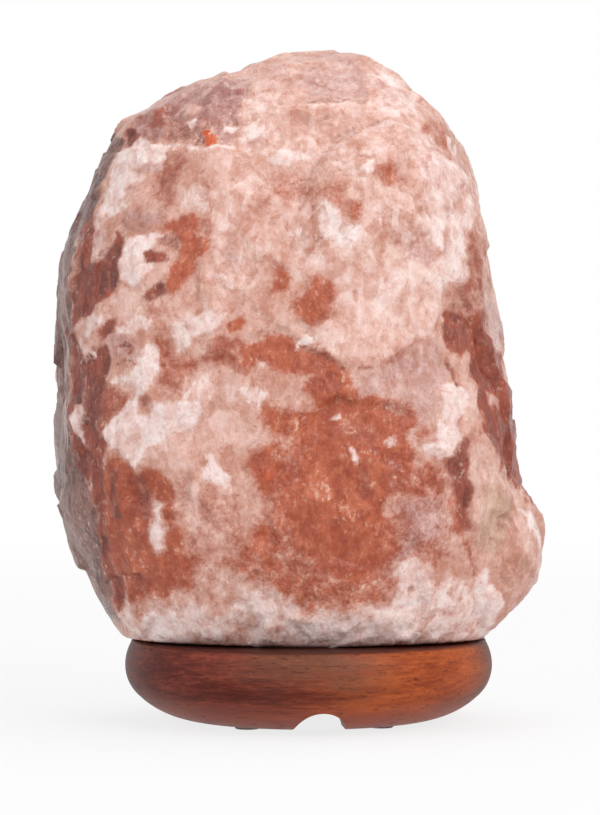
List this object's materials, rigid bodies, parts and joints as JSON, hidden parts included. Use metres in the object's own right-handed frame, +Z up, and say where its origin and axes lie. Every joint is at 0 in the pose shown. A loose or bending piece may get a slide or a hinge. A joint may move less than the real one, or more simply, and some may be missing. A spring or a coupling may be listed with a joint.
{
  "type": "salt crystal lamp",
  "caption": "Lamp made of a rough pink salt crystal, bored from below for a small bulb, on a turned wooden base that holds a spring-clipped bulb holder.",
  "frame": {"origin": "on the table under the base's axis, level with the underside of the feet", "axes": "+Z up along the axis of the turned base; -Y towards the side with the cord groove, which the picture shows; +X to the right of that side"},
  "size_m": [0.1608, 0.1237, 0.219],
  "materials": {
    "salt": "satin",
    "turned_wood": "satin",
    "soft_feet": "matte",
    "zinc_screws": "satin",
    "plug_plastic": "matte",
    "bright_plate": "polished",
    "spring_steel": "satin",
    "plated_fittings": "satin",
    "bushing_plastic": "matte",
    "socket_plastic": "satin",
    "socket_ceramic": "satin",
    "contact_brass": "satin",
    "clear_glass": "gloss",
    "cap_metal": "satin",
    "black_glass": "gloss",
    "solder": "satin",
    "bulb_wire": "satin"
  },
  "bodies": {
    "lamp": {"salt_crystal": "salt", "wooden_base": "turned_wood", "foot_pad_1": "soft_feet", "foot_pad_2": "soft_feet", "foot_pad_3": "soft_feet", "foot_pad_4": "soft_feet", "base_screws": "zinc_screws", "screw_plugs": "plug_plastic"},
    "bulb_holder": {"holder_plate": "bright_plate", "spring_clip_1": "spring_steel", "spring_clip_2": "spring_steel", "spring_clip_3": "spring_steel", "clip_rivets": "plated_fittings", "threaded_nipple": "plated_fittings", "lock_nut": "plated_fittings", "lock_washer": "plated_fittings", "cord_bushing": "bushing_plastic", "socket_cap": "socket_plastic", "socket_sleeve": "socket_plastic", "socket_core": "socket_ceramic", "screw_shell": "contact_brass", "centre_contact": "contact_brass", "shell_contact": "contact_brass", "terminal_screws": "plated_fittings"},
    "bulb_tip": {"bulb_insulator": "black_glass", "bulb_contact": "solder"},
    "bulb": {"bulb_glass": "clear_glass", "bulb_cap": "cap_metal", "bulb_stem": "clear_glass", "lead_wires": "bulb_wire", "filament": "bulb_wire"}
  },
  "joints": [
    {"name": "holder_withdraw", "type": "slide", "parent": "lamp", "child": "bulb_holder", "axis": [0, 0, -1], "range_m": [0, 0.105]},
    {"name": "bulb_rise", "type": "slide", "parent": "bulb_holder", "child": "bulb_tip", "axis": [0, 0, 1], "range_m": [0, 0.01129]},
    {"name": "bulb_turn", "type": "hinge", "parent": "bulb_tip", "child": "bulb", "pos_m": [0, 0, 0.0428], "axis": [0, 0, 1], "range_deg": [0, 1440]}
  ],
  "couplings": [
    {"joint": "bulb_rise", "follows": "bulb_turn", "m_per_rad": 0.00044882}
  ]
}
